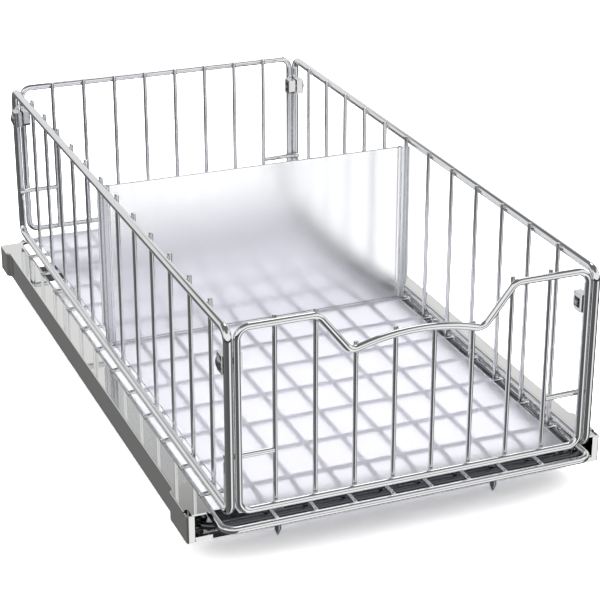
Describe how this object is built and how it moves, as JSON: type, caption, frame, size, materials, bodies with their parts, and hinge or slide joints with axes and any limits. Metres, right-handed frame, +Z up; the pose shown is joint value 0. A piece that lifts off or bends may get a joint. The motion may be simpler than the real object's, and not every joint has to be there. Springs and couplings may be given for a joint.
{
  "type": "pull-out cabinet basket",
  "caption": "Chrome wire basket with a dipped front, a translucent divider and a floor mat, pulling out of a screwed-down base frame on telescopic ball slides.",
  "frame": {"origin": "centre of the pattern of the shelf screws, in the plane of the underside of the cross plates, where the part lies on the shelf", "axes": "+Z up, -Y towards the front, the way the basket pulls out, +X to the right as seen from the front"},
  "size_m": [0.3034, 0.54, 0.1794],
  "materials": {
    "chrome": "bright chrome plated wire",
    "bracket": "bright plated sheet",
    "slide": "zinc plated, rolled",
    "cage": "stamped strip",
    "ball": "polished steel",
    "clamp": "plated die casting",
    "screw": "zinc plated",
    "mat": "frosted, translucent",
    "divider": "frosted, translucent"
  },
  "bodies": {
    "cabinet_frame": {"left_bracket": "bracket", "right_bracket": "bracket", "front_cross_plate": "bracket", "rear_cross_plate": "bracket", "frame_rivets": "screw", "shelf_screws": "screw", "left_outer_slide": "slide", "right_outer_slide": "slide"},
    "basket": {"left_inner_slide": "slide", "right_inner_slide": "slide", "tie_bar": "chrome", "base_tray": "chrome", "hanger_screws": "screw", "floor_mat": "mat", "left_side_panel": "chrome", "right_side_panel": "chrome", "front_panel": "chrome", "back_panel": "chrome", "divider": "divider", "front_left_clamp_outer": "clamp", "front_right_clamp_outer": "clamp", "rear_left_clamp_outer": "clamp", "rear_right_clamp_outer": "clamp", "front_left_clamp_inner": "clamp", "front_right_clamp_inner": "clamp", "rear_left_clamp_inner": "clamp", "rear_right_clamp_inner": "clamp", "clamp_screws": "screw", "clamp_nuts": "screw"},
    "left_middle": {"left_middle_slide": "slide"},
    "left_outer_bearing": {"left_outer_cage": "cage", "left_outer_balls": "ball"},
    "left_inner_bearing": {"left_inner_cage": "cage", "left_inner_balls": "ball"},
    "right_middle": {"right_middle_slide": "slide"},
    "right_outer_bearing": {"right_outer_cage": "cage", "right_outer_balls": "ball"},
    "right_inner_bearing": {"right_inner_cage": "cage", "right_inner_balls": "ball"}
  },
  "joints": [
    {"name": "pull_out", "type": "slide", "parent": "cabinet_frame", "child": "basket", "axis": [0, -1, 0], "range_m": [0, 0.45]},
    {"name": "left_middle_travel", "type": "slide", "parent": "cabinet_frame", "child": "left_middle", "axis": [0, -1, 0], "range_m": [0, 0.225]},
    {"name": "left_outer_bearing_travel", "type": "slide", "parent": "cabinet_frame", "child": "left_outer_bearing", "axis": [0, -1, 0], "range_m": [0, 0.1125]},
    {"name": "left_inner_bearing_travel", "type": "slide", "parent": "cabinet_frame", "child": "left_inner_bearing", "axis": [0, -1, 0], "range_m": [0, 0.3375]},
    {"name": "right_middle_travel", "type": "slide", "parent": "cabinet_frame", "child": "right_middle", "axis": [0, -1, 0], "range_m": [0, 0.225]},
    {"name": "right_outer_bearing_travel", "type": "slide", "parent": "cabinet_frame", "child": "right_outer_bearing", "axis": [0, -1, 0], "range_m": [0, 0.1125]},
    {"name": "right_inner_bearing_travel", "type": "slide", "parent": "cabinet_frame", "child": "right_inner_bearing", "axis": [0, -1, 0], "range_m": [0, 0.3375]}
  ],
  "couplings": [
    {"joint": "left_middle_travel", "follows": "pull_out", "ratio": 0.5},
    {"joint": "left_outer_bearing_travel", "follows": "pull_out", "ratio": 0.25},
    {"joint": "left_inner_bearing_travel", "follows": "pull_out", "ratio": 0.75},
    {"joint": "right_middle_travel", "follows": "pull_out", "ratio": 0.5},
    {"joint": "right_outer_bearing_travel", "follows": "pull_out", "ratio": 0.25},
    {"joint": "right_inner_bearing_travel", "follows": "pull_out", "ratio": 0.75}
  ]
}
